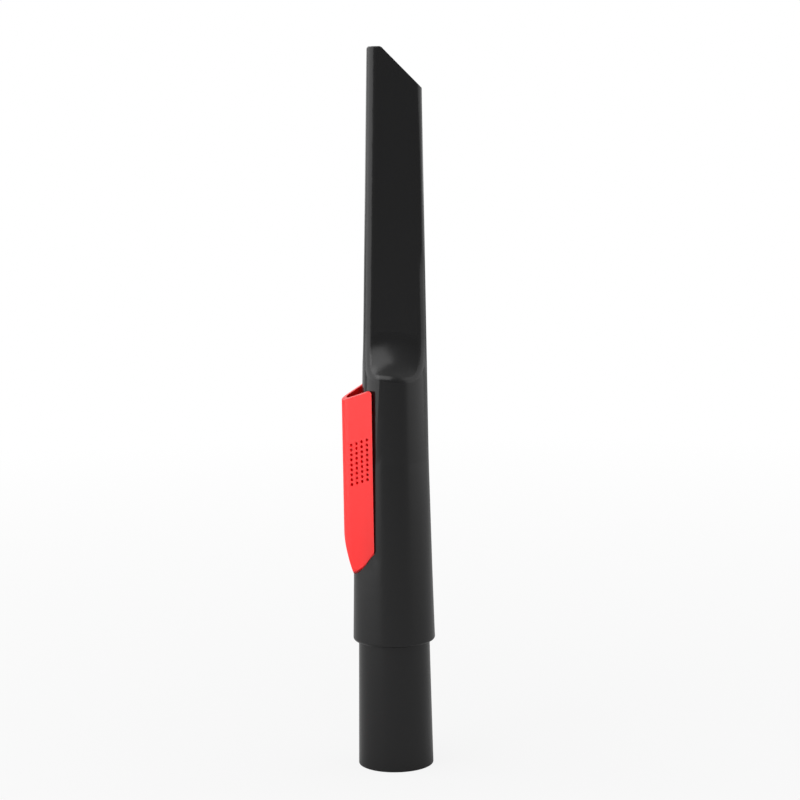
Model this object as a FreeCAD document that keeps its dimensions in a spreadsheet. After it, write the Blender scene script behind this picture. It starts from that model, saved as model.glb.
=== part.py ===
"""Vacuum crevice tool: a slanted nozzle, its hose cuff and the perforated bleed hood.

The frame stands on the cuff's mouth: origin at the centre of the mouth, +Z along the cuff to the tip,
the hood on the -X side and the nozzle's two flat faces towards -Y and +Y. Millimetres and degrees.
"""
import FreeCAD, Part
import math
import os
import re

import Sketcher
from FreeCAD import Vector

os.makedirs("parts", exist_ok=True)
doc = FreeCAD.newDocument("crevice_tool")

SIZES = [
    ("overall_length", 336.0, "mouth of the cuff to the top of the tip"),
    ("wall", 2.2, "wall of the nozzle"),
    ("cuff_reach", 60.0, "length of cuff that shows below the collar"),
    ("cuff_seat_length", 24.0, "length of cuff inside the collar"),
    ("cuff_mouth_radius", 17.6, "outside of the cuff at its mouth"),
    ("cuff_neck_radius", 16.6, "outside of the cuff just below the collar"),
    ("cuff_seat_radius", 16.9, "outside of the cuff inside the collar"),
    ("cuff_airway_radius", 14.4, "airway through the top of the cuff"),
    ("cuff_rim_round", 0.5, "rounding of the cuff's mouth"),
    ("seat_clearance", 0.1, "gap between the cuff and its seat, on the radius"),
    ("hose_radius", 16.0, "socket for a 32 mm hose end"),
    ("hose_land", 14.0, "straight part of the socket"),
    ("hose_stop_height", 42.0, "stop for the hose end, above the mouth"),
    ("hose_stop_radius", 15.3, "socket just below its stop"),
    ("collar_radius", 19.2, "outside of the nozzle at its lower edge"),
    ("collar_round", 1.3, "rounding of the collar's lower edge"),
    ("shoulder_height", 88.0, "height where the flare eases"),
    ("shoulder_radius", 18.5, "outside of the nozzle at that height"),
    ("waist_height", 146.0, "height where the flare ends in a slight taper"),
    ("waist_radius", 17.4, "outside of the nozzle at that height"),
    ("tube_top_radius", 16.4, "outside of the tube just past the tip"),
    ("hood_foot_height", 107.4, "centre of the hood's rounded foot"),
    ("hood_foot_radius", 15.3, "radius of that foot, seen from the hood's side"),
    ("hood_foot_flank", 60.0, "slope of the foot's straight flanks"),
    ("hood_seat_offset", 14.6, "flat seat behind the hood, from the axis, at that height"),
    ("tip_edge_offset", 8.3, "narrow side of the nozzle, from the axis, at the tip"),
    ("seat_round", 10.0, "rounding between the seat and the tube"),
    ("blade_half_root", 7.2, "half thickness of the blade where the scoop starts"),
    ("blade_half_tip", 5.5, "half thickness of the blade at the tip"),
    ("blade_round", 4.3, "rounding along the edges of the blade"),
    ("crease_round", 1.4, "rounding at the foot of the scoop"),
    ("scoop_middle", 4.0, "highest and tightest line of the scoop, past the axis"),
    ("scoop_start", 206.6, "height where the scoop starts, on that line"),
    ("scoop_start_fall", 0.0165, "fall of that height by the square of the way from the line"),
    ("scoop_radius", 24.0, "hollow of the scoop, on that line"),
    ("scoop_radius_growth", 0.079, "growth of the hollow by the square of the way from the line"),
    ("scoop_half_width", 22.0, "where the side sections of the scoop are drawn, from the axis"),
    ("scoop_sweep", 62.0, "angle that the scoop's hollow turns through"),
    ("tip_slant", 46.0, "slant of the tip below the level"),
    ("tip_land", 6.3, "level part of the tip"),
    ("tip_land_round", 1.4, "rounding at the outer end of the level part"),
    ("hood_nose_offset", 22.6, "outside of the hood, from the axis"),
    ("hood_nose_radius", 10.0, "rounding of the hood's outer side"),
    ("hood_wall_angle", 47.0, "lean of the hood's two walls off the nose"),
    ("hood_edge_offset", 9.7, "side edges of the hood, from the axis"),
    ("hood_edge_round", 1.0, "rounding of the hood's corners"),
    ("hood_wall", 2.2, "wall of the hood"),
    ("hood_gap", 0.15, "gap between the hood and the tube"),
    ("hood_rim_height", 174.3, "rim of the hood, at its nose"),
    ("hood_rim_slope", 25.5, "rise of the hood's rim towards the tube"),
    ("hood_belly_height", 114.0, "height where the hood starts to curve in to the tube"),
    ("hood_belly_radius", 58.0, "curve of the hood's lower end"),
    ("hood_heel_angle", 25.0, "angle that the lower curve turns through"),
    ("vent_radius", 0.75, "holes in the hood's walls"),
    ("vent_columns", 4, "holes in a row"),
    ("vent_rows", 9, "rows of holes"),
    ("vent_column_pitch", 3.15, "from hole to hole across a wall"),
    ("vent_row_pitch", 2.32, "from row to row"),
    ("vent_first_step", 0.6, "outermost column of holes, from the end of the nose's rounding"),
    ("vent_first_height", 135.5, "lowest hole of the outermost column"),
    ("bleed_slot_width", 6.0, "slot in the tube behind the hood"),
    ("bleed_slot_length", 26.0, "length of that slot"),
    ("bleed_slot_height", 146.0, "middle of that slot"),
    ("margin", 10.0, "run of a cutting shape past what it cuts"),
]

sheet = doc.addObject("Spreadsheet::Sheet", "sizes")
for row, (alias, size, note) in enumerate(SIZES, start=1):
    sheet.set(f"A{row}", note)
    sheet.set(f"B{row}", str(size))
    sheet.setAlias(f"B{row}", alias)
doc.recompute()
ALIASES = {alias for alias, size, note in SIZES}

gauge = doc.addObject("App::FeaturePython", "gauge")
gauge.addProperty("App::PropertyFloat", "Reading")


def linked(formula):
    """The formula with each size's name pointing at its cell."""
    return re.sub(r"[a-z_]+", lambda word: f"sizes.{word[0]}" if word[0] in ALIASES else word[0], formula)


def number(formula):
    """The formula's present value."""
    gauge.setExpression("Reading", linked(formula))
    gauge.recompute()
    return gauge.Reading


# Sketches whose corners are bound to the sheet

def sketch_on(body, role, name, offset=None):
    """A sketch on one of the body's own origin planes, moved along its normal by a formula."""
    plane = next(feature for feature in body.Origin.OriginFeatures if feature.Role == role)
    sketch = body.newObject("Sketcher::SketchObject", name)
    sketch.AttachmentSupport = [(plane, "")]
    sketch.MapMode = "FlatFace"
    if offset:
        sketch.setExpression("AttachmentOffset.Base.z", linked(offset))
    return sketch


def bind_point(sketch, edge, end, x_formula, y_formula):
    """Tie one end of an edge to its place from the sketch's origin."""
    for kind, formula in (("DistanceX", x_formula), ("DistanceY", y_formula)):
        tie = sketch.addConstraint(Sketcher.Constraint(kind, -1, 1, edge, end, number(formula)))
        sketch.setExpression(f"Constraints[{tie}]", linked(formula))


def bind_radius(sketch, edge, formula):
    """Tie an arc or a circle to its radius."""
    tie = sketch.addConstraint(Sketcher.Constraint("Radius", edge, number(formula)))
    sketch.setExpression(f"Constraints[{tie}]", linked(formula))


def arc_between(start, end, radius, side):
    """The short arc from start to end that bulges to the left (side 1) or right (side -1) of the way."""
    chord = end - start
    left = Vector(-chord.y, chord.x, 0).normalize() * side
    centre = (start + end) * 0.5 - left * math.sqrt(radius ** 2 - (chord.Length / 2) ** 2)
    first, last = (end, start) if side > 0 else (start, end)
    angles = [math.atan2(point.y - centre.y, point.x - centre.x) for point in (first, last)]
    return Part.ArcOfCircle(Part.Circle(centre, Vector(0, 0, 1), radius), *angles)


def draw_outline(sketch, corners, arcs=None):
    """Close an outline through corners; arcs maps the edge after a corner to its radius and side."""
    arcs = arcs or {}
    points = [Vector(number(x), number(y), 0) for x, y in corners]
    ends = []
    for index, start in enumerate(points):
        end = points[(index + 1) % len(points)]
        if index in arcs:
            radius, side = arcs[index]
            edge = sketch.addGeometry(arc_between(start, end, number(radius), side), False)
            ends.append((edge, 2, 1) if side > 0 else (edge, 1, 2))
        else:
            edge = sketch.addGeometry(Part.LineSegment(start, end), False)
            ends.append((edge, 1, 2))
    for index, (edge, first, last) in enumerate(ends):
        following, following_first, _ = ends[(index + 1) % len(ends)]
        sketch.addConstraint(Sketcher.Constraint("Coincident", edge, last, following, following_first))
        bind_point(sketch, edge, first, *corners[index])
        if index in arcs:
            bind_radius(sketch, edge, arcs[index][0])
    return sketch


def draw_circle(sketch, x_formula, y_formula, radius):
    """A circle with its centre and radius bound to the sheet."""
    centre = Vector(number(x_formula), number(y_formula), 0)
    edge = sketch.addGeometry(Part.Circle(centre, Vector(0, 0, 1), number(radius)), False)
    bind_point(sketch, edge, 3, x_formula, y_formula)
    bind_radius(sketch, edge, radius)


# Features

def new_body(name):
    return doc.addObject("PartDesign::Body", name)


def revolve(body, sketch, name, angle=360):
    """Turn a sketch about the frame's Z axis."""
    feature = body.newObject("PartDesign::Revolution", name)
    feature.Profile = sketch
    feature.ReferenceAxis = (sketch, ["V_Axis"])
    feature.Angle = angle
    return feature


def pad_both_ways(body, sketch, name, length):
    """Raise a sketch to a length centred on its plane."""
    feature = body.newObject("PartDesign::Pad", name)
    feature.Profile = sketch
    feature.Midplane = True
    feature.setExpression("Length", linked(length))
    return feature


def pad(body, sketch, name, length):
    """Raise a sketch along its normal."""
    feature = body.newObject("PartDesign::Pad", name)
    feature.Profile = sketch
    feature.setExpression("Length", linked(length))
    return feature


def pocket_through(body, sketch, name):
    """Cut a sketch through the body both ways."""
    feature = body.newObject("PartDesign::Pocket", name)
    feature.Profile = sketch
    feature.Midplane = True
    feature.Type = "ThroughAll"
    return feature


def fillet_edges(body, base, name, radius, chosen):
    """Round the edges of a body's feature that chosen accepts."""
    doc.recompute()
    names = [f"Edge{index}" for index, edge in enumerate(base.Shape.Edges, start=1) if chosen(edge)]
    feature = body.newObject("PartDesign::Fillet", name)
    feature.Base = (base, names)
    feature.setExpression("Radius", linked(radius))
    return feature


def boolean(kind, name, base, tool):
    """Cut, fuse or intersect two solids."""
    feature = doc.addObject(f"Part::{kind}", name)
    if kind == "Cut":
        feature.Base, feature.Tool = base, tool
    else:
        feature.Shapes = [base, tool]
    return feature


def mirror_image(source):
    """The same shape on the other side of the plane through the hood and the axis."""
    feature = doc.addObject("Part::Mirroring", f"{source.Name}_mirrored")
    feature.Source = source
    feature.Normal = Vector(0, 1, 0)
    return feature


def is_sharp(shape, edge, limit=12.0):
    """Whether the two faces that meet at an edge turn by more than a limit in degrees."""
    middle = edge.valueAt((edge.FirstParameter + edge.LastParameter) / 2)
    normals = []
    for face in shape.ancestorsOfType(edge, Part.Face):
        u, v = face.Surface.parameter(middle)
        normals.append(face.normalAt(u, v))
    return len(normals) == 2 and math.degrees(normals[0].getAngle(normals[1])) > limit


# The nozzle: one form drawn at its outside and again one wall further in

SEAT_SLOPE = "((hood_seat_offset - tip_edge_offset) / (overall_length - hood_foot_height))"
BLADE_SLOPE = "((blade_half_root - blade_half_tip) / (overall_length - scoop_start))"
TOP = "(overall_length + margin)"
OUTSIDE = "(hood_nose_offset + margin)"


def scoop_start_at(offset):
    """Height where the scoop starts, at an offset from the axis."""
    return f"(scoop_start - scoop_start_fall * ({offset} - scoop_middle) ^ 2)"


def foot_block(name, radius):
    """A block on the hood's side with the hood's rounded foot at its lower end."""
    body = new_body(name)
    outline = sketch_on(body, "YZ_Plane", f"{name}_outline", f"-{OUTSIDE}")
    arc_y = f"({radius} * sin(hood_foot_flank))"
    arc_z = f"(hood_foot_height - {radius} * cos(hood_foot_flank))"
    reach = "(collar_radius + margin)"
    reach_z = f"({arc_z} + ({reach} - {arc_y}) * tan(hood_foot_flank))"
    draw_outline(outline, [
        (f"-{arc_y}", arc_z),
        ("0", f"hood_foot_height - {radius}"),
        (arc_y, arc_z),
        (reach, reach_z),
        (reach, TOP),
        (f"-{reach}", TOP),
        (f"-{reach}", reach_z),
    ], arcs={0: (radius, -1), 1: (radius, -1)})
    pad(body, outline, f"{name}_block", OUTSIDE)
    return body


def seat_cutter(name, inset, foot_radius):
    """What the slanted seat behind the hood leaves outside."""
    body = foot_block(name, foot_radius)
    seat = sketch_on(body, "XZ_Plane", f"{name}_seat")
    draw_outline(seat, [
        (f"-(hood_seat_offset - {inset} + {SEAT_SLOPE} * hood_foot_height)", "0"),
        ("margin", "0"),
        ("margin", f"{TOP} + margin"),
        (f"-(hood_seat_offset - {inset} - {SEAT_SLOPE} * ({TOP} + margin - hood_foot_height))", f"{TOP} + margin"),
    ])
    pocket_through(body, seat, f"{name}_seat_cut")
    return body


def tube_form(name, inset, foot_radius):
    """The +Y half of the flared round tube with its flat seat for the hood, an inset inside its skin."""
    body = new_body(name)
    profile = sketch_on(body, "XZ_Plane", f"{name}_profile")
    draw_outline(profile, [
        ("0", "cuff_reach"),
        (f"collar_radius - {inset}", "cuff_reach"),
        (f"shoulder_radius - {inset}", "shoulder_height"),
        (f"waist_radius - {inset}", "waist_height"),
        (f"tube_top_radius - {inset}", TOP),
        ("0", TOP),
    ])
    revolve(body, profile, f"{name}_turned", 180)
    seated = body.newObject("PartDesign::Boolean", f"{name}_seat_cut")
    seated.Type = "Cut"
    seated.setObjects([seat_cutter(f"{name}_seat", inset, foot_radius)])
    body.Tip = seated
    fillet_edges(body, seated, f"{name}_seat_round", f"seat_round - {inset}", is_seat_side)
    return body


def is_seat_side(edge):
    """Whether an edge runs up one side of the hood's seat."""
    box = edge.BoundBox
    return box.ZLength > number("wall") * 10 and edge.CenterOfMass.y > number("wall") and box.XMax < 0


def scoop_section(body, name, offset, inset):
    """One section of the scoop: the flat face of the blade, then the hollow that runs out of the tube."""
    section = sketch_on(body, "YZ_Plane", name, offset)
    start = scoop_start_at(offset)
    hollow = f"(scoop_radius + scoop_radius_growth * ({offset} - scoop_middle) ^ 2 + {inset})"
    half_top = f"(blade_half_root - {BLADE_SLOPE} * ({TOP} - scoop_start) - {inset})"
    half_start = f"(blade_half_root - {BLADE_SLOPE} * ({start} - scoop_start) - {inset})"
    foot = f"({half_start} + {hollow} * (1 - cos(scoop_sweep)))"
    outside = f"(collar_radius + {hollow})"
    return draw_outline(section, [
        (outside, TOP),
        (half_top, TOP),
        (half_start, start),
        (foot, f"{start} - {hollow} * sin(scoop_sweep)"),
        (outside, f"{start} - {hollow} * sin(scoop_sweep)"),
    ], arcs={2: (hollow, -1)})


def nozzle_form(name, inset):
    """The +Y half of the nozzle: the tube flattened to a blade by a scoop."""
    body = tube_form(name, inset, f"(hood_foot_radius + hood_gap + {inset})")
    sections = [
        scoop_section(body, f"{name}_scoop_{place}", offset, inset)
        for place, offset in (
            ("hood_side", "(0 - scoop_half_width)"), ("middle", "0"), ("plain_side", "scoop_half_width"),
        )
    ]
    scoop = body.newObject("PartDesign::SubtractiveLoft", f"{name}_scoop")
    scoop.Profile = sections[0]
    scoop.Sections = sections[1:]
    scoop.Ruled = False
    body.Tip = scoop
    doc.recompute()
    return body


def rounded_skin():
    """The outer form with the long edges of the blade rounded, less so at the foot of the scoop."""
    sharp = nozzle_form("nozzle_skin", "0")
    rounded = doc.addObject("Part::Fillet", "nozzle_rounded_skin")
    rounded.Base = sharp
    lowest = number("scoop_start - 2 * scoop_radius")
    flat_level = number(scoop_start_at("(0 - tube_top_radius)"))
    radii = []
    for index, edge in enumerate(sharp.Shape.Edges, start=1):
        box = edge.BoundBox
        in_middle_plane = box.YMax < number("wall")
        if in_middle_plane or box.ZMin < lowest or box.ZMin > number(TOP) - 1 or not is_sharp(sharp.Shape, edge):
            continue
        levels = [edge.firstVertex(True).Z, edge.lastVertex(True).Z]
        radii.append((index, *(number("blade_round" if z > flat_level else "crease_round") for z in levels)))
    rounded.Edges = radii
    return rounded


def tip_cutter():
    """What the tip's level land and slant leave outside."""
    body = new_body("tip_cutter")
    outline = sketch_on(body, "XZ_Plane", "tip_outline")
    side_at_round = f"(tip_edge_offset + {SEAT_SLOPE} * tip_land_round)"
    land_end = "(tip_land - tip_edge_offset)"
    reach = "(tube_top_radius + margin)"
    draw_outline(outline, [
        (f"-{side_at_round}", "overall_length - tip_land_round"),
        (f"tip_land_round - {side_at_round}", "overall_length"),
        (land_end, "overall_length"),
        (reach, f"overall_length - ({reach} - {land_end}) * tan(tip_slant)"),
        (reach, f"{TOP} + margin"),
        (f"-{reach}", f"{TOP} + margin"),
        (f"-{reach}", "overall_length - tip_land_round"),
    ], arcs={0: ("tip_land_round", 1)})
    pad_both_ways(body, outline, "tip_block", "4 * collar_radius")
    return body


def cuff_seat():
    """The bore in the collar that the cuff is pushed into."""
    body = new_body("cuff_seat")
    base = sketch_on(body, "XY_Plane", "cuff_seat_circle", "cuff_reach - margin")
    draw_circle(base, "0", "0", "cuff_seat_radius + seat_clearance")
    pad(body, base, "cuff_seat_bore", "cuff_seat_length + margin")
    return body


def bleed_slot():
    """The slot that lets air from under the hood into the tube."""
    body = new_body("bleed_slot")
    outline = sketch_on(body, "YZ_Plane", "bleed_slot_outline", "-(hood_nose_offset + margin)")
    half = "(bleed_slot_width / 2)"
    top = "(bleed_slot_height + bleed_slot_length / 2 - bleed_slot_width / 2)"
    bottom = "(bleed_slot_height - bleed_slot_length / 2 + bleed_slot_width / 2)"
    draw_outline(outline, [
        (f"-{half}", bottom),
        (f"-{half}", top),
        ("0", f"{top} + {half}"),
        (half, top),
        (half, bottom),
        ("0", f"{bottom} - {half}"),
    ], arcs={1: (half, 1), 2: (half, 1), 4: (half, 1), 5: (half, 1)})
    pad(body, outline, "bleed_slot_cutter", "hood_nose_offset + margin")
    return body


def nozzle_body():
    half = boolean("Cut", "nozzle_half", rounded_skin(), nozzle_form("nozzle_core", "wall"))
    hollow = boolean("MultiFuse", "nozzle_hollow", half, mirror_image(half))
    tipped = boolean("Cut", "nozzle_tipped", hollow, tip_cutter())
    seated = boolean("Cut", "nozzle_seated", tipped, cuff_seat())
    slotted = boolean("Cut", "nozzle_slotted", seated, bleed_slot())
    doc.recompute()
    body = doc.addObject("Part::Fillet", "nozzle_body")
    body.Base = slotted
    rim_level = number("cuff_reach")
    rim_least = number("cuff_seat_radius + seat_clearance + wall / 2")
    body.Edges = [
        (index, number("collar_round"), number("collar_round"))
        for index, edge in enumerate(slotted.Shape.Edges, start=1)
        if edge.BoundBox.ZMax < rim_level + 0.01 and edge.BoundBox.XMax > rim_least
    ]
    return body


# The cuff

def hose_cuff():
    body = new_body("hose_cuff")
    profile = sketch_on(body, "XZ_Plane", "cuff_profile")
    top = "(cuff_reach + cuff_seat_length)"
    draw_outline(profile, [
        ("hose_radius", "0"),
        ("cuff_mouth_radius", "0"),
        ("cuff_neck_radius", "cuff_reach"),
        ("cuff_seat_radius", "cuff_reach"),
        ("cuff_seat_radius", top),
        ("cuff_airway_radius", top),
        ("cuff_airway_radius", "hose_stop_height"),
        ("hose_stop_radius", "hose_stop_height"),
        ("hose_radius", "hose_land"),
    ])
    turned = revolve(body, profile, "cuff_turned")
    least = number("(hose_radius + cuff_mouth_radius) / 2")
    fillet_edges(body, turned, "cuff_rim", "cuff_rim_round",
                 lambda edge: edge.BoundBox.ZMax < 0.01 and edge.BoundBox.XMax > least)
    return body


# The hood

def hood_form(name, inset, rise):
    """The hood's outer form, one inset further in, with its rim raised and its foot lowered by a rise."""
    plan_body = new_body(f"{name}_plan")
    plan = sketch_on(plan_body, "XY_Plane", f"{name}_plan_outline", "cuff_reach")
    radius = f"(hood_nose_radius - {inset})"
    tangent_x = f"(hood_nose_offset - hood_nose_radius + {radius} * cos(hood_wall_angle))"
    tangent_y = f"({radius} * sin(hood_wall_angle))"
    edge_x = f"(hood_edge_offset - {inset})"
    edge_y = f"({tangent_y} + ({tangent_x} - {edge_x}) / tan(hood_wall_angle))"
    draw_outline(plan, [
        (f"-{edge_x}", f"-{edge_y}"),
        (f"-{tangent_x}", f"-{tangent_y}"),
        (f"-(hood_nose_offset - {inset})", "0"),
        (f"-{tangent_x}", tangent_y),
        (f"-{edge_x}", edge_y),
    ], arcs={1: (radius, 1), 2: (radius, 1)})
    pad(plan_body, plan, f"{name}_plan_block", "overall_length - cuff_reach")

    side_body = new_body(f"{name}_side")
    side = sketch_on(side_body, "XZ_Plane", f"{name}_side_outline")
    nose = f"(hood_nose_offset - {inset})"
    centre_x = "(hood_nose_offset - hood_belly_radius)"
    belly = f"(hood_belly_radius - {inset})"
    heel_x = f"({centre_x} + {belly} * cos(hood_heel_angle))"
    heel_z = f"(hood_belly_height - {belly} * sin(hood_heel_angle))"
    rim_rise = "(hood_nose_offset - hood_edge_offset) * tan(hood_rim_slope)"
    edge = f"(hood_edge_offset - {rise})"
    corners = [
        (f"-{nose}", "hood_belly_height"),
        (f"-{nose}", f"hood_rim_height + {inset} * tan(hood_rim_slope) + {rise}"),
        (f"-{edge}", f"hood_rim_height + {rim_rise} + {rise} * (1 + tan(hood_rim_slope))"),
        (f"-{edge}", f"{heel_z} - {rise}"),
        (f"-{heel_x}", f"{heel_z} - {rise}"),
    ]
    if rise != "0":
        corners.append((f"-{heel_x}", heel_z))
    draw_outline(side, corners, arcs={len(corners) - 1: (belly, 1)})
    block = pad_both_ways(side_body, side, f"{name}_side_block", "4 * collar_radius")
    if rise == "0":
        edge_x = -number("hood_edge_offset")
        fillet_edges(side_body, block, f"{name}_corners", "hood_edge_round",
                     lambda e: (abs(e.CenterOfMass.x - edge_x) < 0.01 and e.BoundBox.ZLength < 0.01
                                and e.BoundBox.ZMin > number("hood_rim_height")))
    return boolean("MultiCommon", name, plan_body, side_body)


def vent_pins():
    """The holes of one wall of the hood, square to the wall, in rows that rise with the rim."""
    body = new_body("vent_pins")
    body.Placement.Rotation.Axis = Vector(0, 0, 1)
    body.setExpression("Placement.Base.x", linked("hood_nose_radius - hood_nose_offset"))
    body.setExpression("Placement.Rotation.Angle", linked("hood_wall_angle - 90"))
    row = sketch_on(body, "XZ_Plane", "vent_row", "hood_nose_radius - 1.5 * hood_wall")
    for column in range(int(number("vent_columns"))):
        step = f"(vent_column_pitch * {column})"
        draw_circle(row, f"vent_first_step + {step}",
                    f"vent_first_height + {step} * sin(hood_wall_angle) * tan(hood_rim_slope)", "vent_radius")
    pins = pad(body, row, "vent_row_pins", "2 * hood_wall")
    rows = body.newObject("PartDesign::LinearPattern", "vent_all_rows")
    rows.Originals = [pins]
    rows.Direction = (row, ["V_Axis"])
    rows.Mode = "Spacing"
    rows.setExpression("Offset", linked("vent_row_pitch"))
    rows.setExpression("Occurrences", linked("vent_rows"))
    body.Tip = rows
    return body


def bleed_hood():
    outer = boolean("MultiCommon", "hood_footed", hood_form("hood_outer", "0", "0"),
                    foot_block("hood_foot", "hood_foot_radius"))
    core = hood_form("hood_core", "hood_wall", "margin / 2")
    shell = boolean("Cut", "hood_shell", outer, core)
    room = tube_form("hood_tube_room", "(0 - hood_gap)", "(hood_foot_radius + hood_gap)")
    half_fitted = boolean("Cut", "hood_half_fitted", shell, room)
    fitted = boolean("Cut", "hood_fitted", half_fitted, mirror_image(room))
    pins = vent_pins()
    half_vented = boolean("Cut", "hood_half_vented", fitted, pins)
    return boolean("Cut", "bleed_hood", half_vented, mirror_image(pins))


def main():
    pieces = {"nozzle_body": nozzle_body(), "hose_cuff": hose_cuff(), "bleed_hood": bleed_hood()}
    doc.recompute()
    doc.removeObject(gauge.Name)
    for item in doc.Objects:
        if "Invalid" in item.State or "Error" in item.State:
            raise RuntimeError(f"{item.Name} could not be built: {item.State}")
    for name, piece in pieces.items():
        piece.Label = name
        shape = piece.Shape
        if shape.isNull() or not shape.isValid() or len(shape.Solids) != 1:
            raise RuntimeError(f"{name} is not one valid solid")
        shape.exportStep(f"parts/{name}.step")
        print(name, round(shape.Volume), "mm3", shape.BoundBox)


main()
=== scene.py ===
"""Finishes and photo stage of the vacuum crevice tool, laid out as a Blender add-on.

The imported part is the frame: metres, the cuff's mouth at the origin, +Z to the tip, the hood on -X.
"""

import math

import bpy
from mathutils import Matrix, Vector

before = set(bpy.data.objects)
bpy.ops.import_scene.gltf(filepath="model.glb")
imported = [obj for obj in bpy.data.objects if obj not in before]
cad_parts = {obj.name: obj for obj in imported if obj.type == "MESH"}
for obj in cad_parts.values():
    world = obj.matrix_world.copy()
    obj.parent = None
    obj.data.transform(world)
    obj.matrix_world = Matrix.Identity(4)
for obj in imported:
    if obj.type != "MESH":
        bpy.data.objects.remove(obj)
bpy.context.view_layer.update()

bl_info = {
    "name": "Crevice tool looks",
    "version": (1, 0, 0),
    "blender": (4, 5, 0),
    "location": "3D View > Sidebar > Crevice tool",
    "description": "Finishes the crevice tool's pieces and sets up its studio",
    "category": "Object",
}

WHITE = (1.0, 1.0, 1.0, 1.0)


# Settings

class PlasticSettings(bpy.types.PropertyGroup):
    """How the moulded pieces look."""

    black: bpy.props.FloatVectorProperty(
        name="Black", description="Colour of the nozzle and the cuff", subtype="COLOR", size=3,
        min=0.0, max=1.0, default=(0.005, 0.005, 0.0053))
    red: bpy.props.FloatVectorProperty(
        name="Red", description="Colour of the hood", subtype="COLOR", size=3,
        min=0.0, max=1.0, default=(1.0, 0.012, 0.012))
    nozzle_roughness: bpy.props.FloatProperty(
        name="Nozzle roughness", description="Roughness of the nozzle's surface", min=0.0, max=1.0,
        default=0.24)
    cuff_roughness: bpy.props.FloatProperty(
        name="Cuff roughness", description="Roughness of the cuff's surface", min=0.0, max=1.0, default=0.24)
    hood_roughness: bpy.props.FloatProperty(
        name="Hood roughness", description="Roughness of the hood's surface", min=0.0, max=1.0, default=0.34)
    grain_size: bpy.props.FloatProperty(
        name="Grain size", description="Width of one grain of the moulded surface", unit="LENGTH",
        min=0.0001, max=0.01, default=0.0006)
    grain_height: bpy.props.FloatProperty(
        name="Grain height", description="Height of the moulded grain", unit="LENGTH",
        min=0.0, max=0.001, default=0.000004, precision=6)
    handling: bpy.props.FloatProperty(
        name="Handling marks", description="How much the roughness varies over the surface", min=0.0, max=1.0,
        default=0.25)
    glow_depth: bpy.props.FloatProperty(
        name="Glow depth", description="How far light travels inside the hood's plastic", unit="LENGTH",
        min=0.0, max=0.02, default=0.003, precision=4)
    glow: bpy.props.FloatProperty(
        name="Glow", description="Share of the hood's light that comes from inside the plastic",
        min=0.0, max=1.0, default=0.3)


class StageSettings(bpy.types.PropertyGroup):
    """Where the camera and the lamps are."""

    distance: bpy.props.FloatProperty(
        name="Distance", description="Camera to the tool's axis, level", unit="LENGTH", min=0.2,
        default=1.244)
    height: bpy.props.FloatProperty(
        name="Height", description="Camera above the cuff's mouth", unit="LENGTH", default=0.3726)
    turn: bpy.props.FloatProperty(
        name="Turn", description="Camera's place round the tool, towards the hood", subtype="ANGLE",
        default=math.radians(3.5))
    aim_right: bpy.props.FloatProperty(
        name="Aim right", description="How far the camera looks past the axis", subtype="ANGLE",
        default=math.radians(0.203))
    pitch: bpy.props.FloatProperty(
        name="Pitch", description="How far the camera looks down", subtype="ANGLE", default=math.radians(9.1))
    roll: bpy.props.FloatProperty(
        name="Roll", description="Camera's lean", subtype="ANGLE", default=math.radians(-0.89))
    lens: bpy.props.FloatProperty(
        name="Lens", description="Focal length on a 36 mm sensor, in millimetres", min=10.0, default=122.4)
    key: bpy.props.FloatProperty(
        name="Key", description="Radiance of the large softbox on the hood's side", min=0.0, default=1.25)
    fill: bpy.props.FloatProperty(
        name="Fill", description="Radiance of the softbox on the plain side", min=0.0, default=0.65)
    top: bpy.props.FloatProperty(
        name="Top", description="Radiance of the high lamp", min=0.0, default=1.55)
    front: bpy.props.FloatProperty(
        name="Front", description="Brightness of the room in front of the tool", min=0.0, default=0.26)
    back: bpy.props.FloatProperty(
        name="Back", description="Brightness of the room behind the tool", min=0.0, default=0.8)


# Shader node groups

GRAIN_DETAIL = 2.0
MARKS_PER_METRE = 35.0
MARKS_DETAIL = 3.0
NOISE_MIDDLE = 0.5


def new_group(name, inputs, outputs):
    """An empty shader node group with its sockets, as (group, input node, output node)."""
    group = bpy.data.node_groups.new(name, "ShaderNodeTree")
    for label, kind, default in inputs:
        socket = group.interface.new_socket(name=label, in_out="INPUT", socket_type=kind)
        socket.default_value = default
    for label, kind in outputs:
        group.interface.new_socket(name=label, in_out="OUTPUT", socket_type=kind)
    return group, group.nodes.new("NodeGroupInput"), group.nodes.new("NodeGroupOutput")


def math_node(tree, operation, first, second):
    """A Math node whose two values are sockets or numbers."""
    node = tree.nodes.new("ShaderNodeMath")
    node.operation = operation
    for socket, value in zip(node.inputs, (first, second)):
        if isinstance(value, bpy.types.NodeSocket):
            tree.links.new(value, socket)
        else:
            socket.default_value = value
    return node.outputs["Value"]


def noise_node(tree, scale, detail):
    """Noise over the piece's own coordinates."""
    place = tree.nodes.new("ShaderNodeTexCoord")
    noise = tree.nodes.new("ShaderNodeTexNoise")
    noise.inputs["Detail"].default_value = detail
    if isinstance(scale, bpy.types.NodeSocket):
        tree.links.new(scale, noise.inputs["Scale"])
    else:
        noise.inputs["Scale"].default_value = scale
    tree.links.new(place.outputs["Object"], noise.inputs["Vector"])
    return noise.outputs["Fac"]


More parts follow.
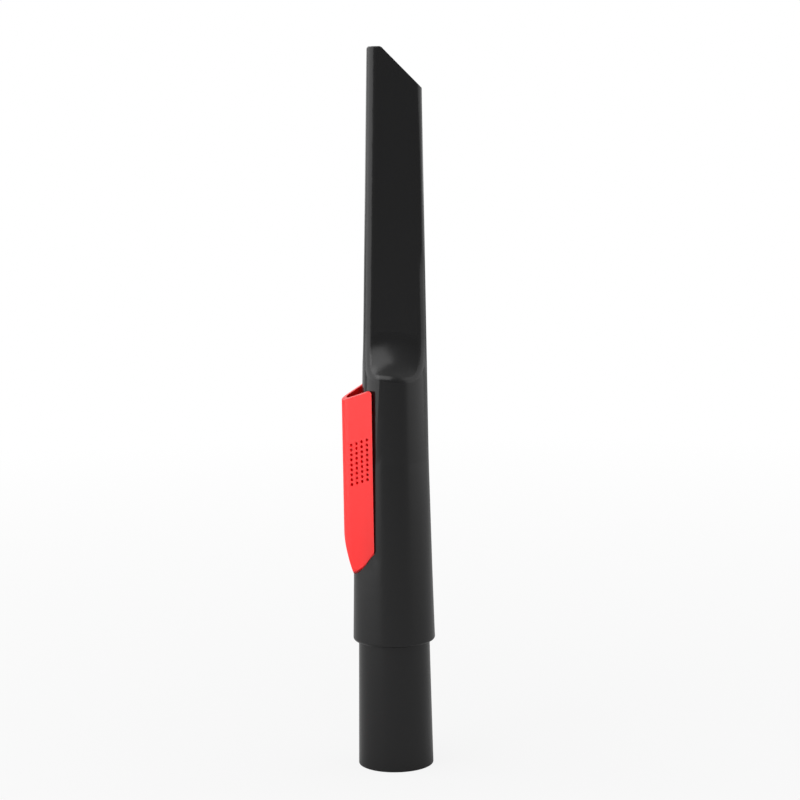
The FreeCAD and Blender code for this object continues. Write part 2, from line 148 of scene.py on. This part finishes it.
def moulded_surface_group():
    """Height of the fine grain, and a roughness that varies a little from place to place."""
    group, given, result = new_group(
        "Moulded surface",
        [
            ("Grain size", "NodeSocketFloat", 0.0006),
            ("Roughness", "NodeSocketFloat", 0.3),
            ("Handling", "NodeSocketFloat", 0.25),
        ],
        [("Height", "NodeSocketFloat"), ("Roughness", "NodeSocketFloat")],
    )
    scale = math_node(group, "DIVIDE", 1.0, given.outputs["Grain size"])
    group.links.new(noise_node(group, scale, GRAIN_DETAIL), result.inputs["Height"])
    marks = noise_node(group, MARKS_PER_METRE, MARKS_DETAIL)
    offset = math_node(group, "SUBTRACT", marks, NOISE_MIDDLE)
    swing = math_node(group, "MULTIPLY", offset, given.outputs["Handling"])
    factor = math_node(group, "ADD", 1.0, swing)
    roughness = math_node(group, "MULTIPLY", given.outputs["Roughness"], factor)
    group.links.new(roughness, result.inputs["Roughness"])
    return group


# Materials

PLASTIC_IOR = 1.5
HOOD_GLOW_REACH = (1.0, 0.15, 0.1)  # red light goes deepest into the red plastic


def plastic(name, colour, roughness, settings):
    """A moulded plastic with a fine grain."""
    material = bpy.data.materials.new(name)
    material.use_nodes = True
    tree = material.node_tree
    shader = tree.nodes["Principled BSDF"]
    shader.inputs["Base Color"].default_value = (*colour, 1.0)
    shader.inputs["IOR"].default_value = PLASTIC_IOR
    surface = tree.nodes.new("ShaderNodeGroup")
    surface.node_tree = bpy.data.node_groups.get("Moulded surface") or moulded_surface_group()
    surface.inputs["Grain size"].default_value = settings.grain_size
    surface.inputs["Roughness"].default_value = roughness
    surface.inputs["Handling"].default_value = settings.handling
    bump = tree.nodes.new("ShaderNodeBump")
    bump.inputs["Distance"].default_value = settings.grain_height
    tree.links.new(surface.outputs["Height"], bump.inputs["Height"])
    tree.links.new(surface.outputs["Roughness"], shader.inputs["Roughness"])
    tree.links.new(bump.outputs["Normal"], shader.inputs["Normal"])
    return material


def dress(node_name, material):
    """Give a CAD node one material in all its slots."""
    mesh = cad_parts[node_name].data
    if not mesh.materials:
        mesh.materials.append(material)
    for index in range(len(mesh.materials)):
        mesh.materials[index] = material


class TOOL_OT_finish_nozzle(bpy.types.Operator):
    """Give the nozzle and the cuff their black plastic"""

    bl_idname = "crevice_tool.finish_nozzle"
    bl_label = "Finish nozzle and cuff"

    def execute(self, context):
        settings = context.scene.crevice_plastic
        dress("nozzle_body", plastic("Nozzle black", settings.black, settings.nozzle_roughness, settings))
        dress("hose_cuff", plastic("Cuff black", settings.black, settings.cuff_roughness, settings))
        return {"FINISHED"}


class TOOL_OT_finish_hood(bpy.types.Operator):
    """Give the hood its red plastic, which lets a little light travel inside it"""

    bl_idname = "crevice_tool.finish_hood"
    bl_label = "Finish hood"

    def execute(self, context):
        settings = context.scene.crevice_plastic
        material = plastic("Hood red", settings.red, settings.hood_roughness, settings)
        shader = material.node_tree.nodes["Principled BSDF"]
        shader.inputs["Subsurface Weight"].default_value = settings.glow
        shader.inputs["Subsurface Scale"].default_value = settings.glow_depth
        shader.inputs["Subsurface Radius"].default_value = HOOD_GLOW_REACH
        dress("bleed_hood", material)
        return {"FINISHED"}


# Stage

FLOOR_HALF = 3.0
FLOOR_COLOUR = (0.45, 0.45, 0.45, 1.0)
FLOOR_LIFT_NEAR = 0.86  # share of plain white that the camera sees on the floor at the tool
FLOOR_LIFT_REACH = 0.9  # distance from the tool at which that share is whole
FRONT_SIDE = -1.0  # the room's front and back brightness hold at these values of a direction's Y
BACK_SIDE = 0.3
SOFTBOX_HEIGHT = 1.3
SOFTBOX_MIDDLE = 0.65
TOP_LAMP_TARGET = Vector((0.0, 0.0, 0.15))
SENSOR_WIDTH = 36.0
NEAR_CLIP = 0.01


def floor_material():
    """A plain floor that the camera sees near white, with some of the tool's shadow kept."""
    material = bpy.data.materials.new("Studio floor")
    material.use_nodes = True
    tree = material.node_tree
    tree.nodes.clear()
    matte = tree.nodes.new("ShaderNodeBsdfDiffuse")
    matte.inputs["Color"].default_value = FLOOR_COLOUR
    glow = tree.nodes.new("ShaderNodeEmission")
    glow.inputs["Color"].default_value = WHITE
    mix = tree.nodes.new("ShaderNodeMixShader")
    place = tree.nodes.new("ShaderNodeTexCoord")
    way = tree.nodes.new("ShaderNodeVectorMath")
    way.operation = "LENGTH"
    tree.links.new(place.outputs["Object"], way.inputs[0])
    lift = tree.nodes.new("ShaderNodeMapRange")
    lift.inputs["From Max"].default_value = FLOOR_LIFT_REACH
    lift.inputs["To Min"].default_value = FLOOR_LIFT_NEAR
    tree.links.new(way.outputs["Value"], lift.inputs["Value"])
    path = tree.nodes.new("ShaderNodeLightPath")
    share = math_node(tree, "MULTIPLY", path.outputs["Is Camera Ray"], lift.outputs["Result"])
    tree.links.new(share, mix.inputs["Fac"])
    tree.links.new(matte.outputs["BSDF"], mix.inputs[1])
    tree.links.new(glow.outputs["Emission"], mix.inputs[2])
    output = tree.nodes.new("ShaderNodeOutputMaterial")
    tree.links.new(mix.outputs["Shader"], output.inputs["Surface"])
    return material


def add_floor():
    """A flat floor that the cuff's mouth stands on."""
    mesh = bpy.data.meshes.new("floor")
    corners = [(x * FLOOR_HALF, y * FLOOR_HALF, 0.0) for x, y in ((-1, -1), (1, -1), (1, 1), (-1, 1))]
    mesh.from_pydata(corners, [], [(0, 1, 2, 3)])
    mesh.materials.append(floor_material())
    floor = bpy.data.objects.new("floor", mesh)
    bpy.context.scene.collection.objects.link(floor)


def set_world(settings):
    """A room that is dim in front of the tool and pale behind it, and white where the camera looks."""
    world = bpy.data.worlds.new("Studio")
    bpy.context.scene.world = world
    world.use_nodes = True
    tree = world.node_tree
    background = tree.nodes["Background"]
    place = tree.nodes.new("ShaderNodeTexCoord")
    parts = tree.nodes.new("ShaderNodeSeparateXYZ")
    tree.links.new(place.outputs["Generated"], parts.inputs["Vector"])
    ramp = tree.nodes.new("ShaderNodeMapRange")
    ramp.inputs["From Min"].default_value = FRONT_SIDE
    ramp.inputs["From Max"].default_value = BACK_SIDE
    ramp.inputs["To Min"].default_value = settings.front
    ramp.inputs["To Max"].default_value = settings.back
    tree.links.new(parts.outputs["Y"], ramp.inputs["Value"])
    path = tree.nodes.new("ShaderNodeLightPath")
    seen = math_node(tree, "MAXIMUM", ramp.outputs["Result"], path.outputs["Is Camera Ray"])
    tree.links.new(seen, background.inputs["Strength"])
    background.inputs["Color"].default_value = WHITE


def add_softbox(name, radiance, azimuth, distance, width, height, middle_height, target=None):
    """A rectangular lamp at an azimuth round the tool, 0 in front and growing to the plain side.

    It faces its target, or level to the tool's axis where it has none.
    """
    lamp = bpy.data.lights.new(name, "AREA")
    lamp.shape = "RECTANGLE"
    lamp.size = width
    lamp.size_y = height
    lamp.energy = radiance * math.pi * width * height
    box = bpy.data.objects.new(name, lamp)
    angle = math.radians(azimuth)
    box.location = (distance * math.sin(angle), -distance * math.cos(angle), middle_height)
    target = target or Vector((0.0, 0.0, middle_height))
    box.rotation_euler = (target - box.location).to_track_quat("-Z", "Y").to_euler()
    bpy.context.scene.collection.objects.link(box)


def add_camera(settings):
    """A camera at the photo's angle and distance."""
    lens = bpy.data.cameras.new("Photo camera")
    lens.sensor_width = SENSOR_WIDTH
    lens.lens = settings.lens
    lens.clip_start = NEAR_CLIP
    camera = bpy.data.objects.new("Photo camera", lens)
    place = Vector((-settings.distance * math.sin(settings.turn),
                    -settings.distance * math.cos(settings.turn), settings.height))
    heading = Matrix.Rotation(-settings.turn - settings.aim_right, 4, "Z")
    tilt = Matrix.Rotation(math.radians(90.0) - settings.pitch, 4, "X")
    lean = Matrix.Rotation(settings.roll, 4, "Z")
    camera.matrix_world = Matrix.Translation(place) @ heading @ tilt @ lean
    bpy.context.scene.collection.objects.link(camera)
    bpy.context.scene.camera = camera


class TOOL_OT_set_stage(bpy.types.Operator):
    """Put the tool on a pale floor in soft studio light, before the photo's camera"""

    bl_idname = "crevice_tool.set_stage"
    bl_label = "Set stage"

    def execute(self, context):
        settings = context.scene.crevice_stage
        add_floor()
        set_world(settings)
        add_softbox("Key softbox", settings.key, azimuth=-80.0, distance=0.6, width=1.0,
                    height=SOFTBOX_HEIGHT, middle_height=SOFTBOX_MIDDLE)
        add_softbox("Fill softbox", settings.fill, azimuth=86.0, distance=0.9, width=1.4,
                    height=SOFTBOX_HEIGHT, middle_height=SOFTBOX_MIDDLE)
        add_softbox("Top lamp", settings.top, azimuth=-26.0, distance=1.0, width=1.3,
                    height=1.1, middle_height=1.15, target=TOP_LAMP_TARGET)
        add_camera(settings)
        context.scene.view_settings.view_transform = "Standard"
        return {"FINISHED"}


class VIEW3D_PT_crevice_tool(bpy.types.Panel):
    """Buttons and settings of the crevice tool"""

    bl_label = "Crevice tool"
    bl_idname = "VIEW3D_PT_crevice_tool"
    bl_space_type = "VIEW_3D"
    bl_region_type = "UI"
    bl_category = "Crevice tool"

    def draw(self, context):
        for operator in STEPS:
            self.layout.operator(operator.bl_idname)
        for settings in (context.scene.crevice_plastic, context.scene.crevice_stage):
            column = self.layout.column(align=True)
            for name in settings.__annotations__:
                column.prop(settings, name)


STEPS = (TOOL_OT_finish_nozzle, TOOL_OT_finish_hood, TOOL_OT_set_stage)
CLASSES = (PlasticSettings, StageSettings, *STEPS, VIEW3D_PT_crevice_tool)


def register():
    for item in CLASSES:
        bpy.utils.register_class(item)
    bpy.types.Scene.crevice_plastic = bpy.props.PointerProperty(type=PlasticSettings)
    bpy.types.Scene.crevice_stage = bpy.props.PointerProperty(type=StageSettings)


def unregister():
    del bpy.types.Scene.crevice_stage
    del bpy.types.Scene.crevice_plastic
    for item in reversed(CLASSES):
        bpy.utils.unregister_class(item)


def main():
    register()
    bpy.ops.crevice_tool.finish_nozzle()
    bpy.ops.crevice_tool.finish_hood()
    bpy.ops.crevice_tool.set_stage()


if __name__ == "__main__":
    main()
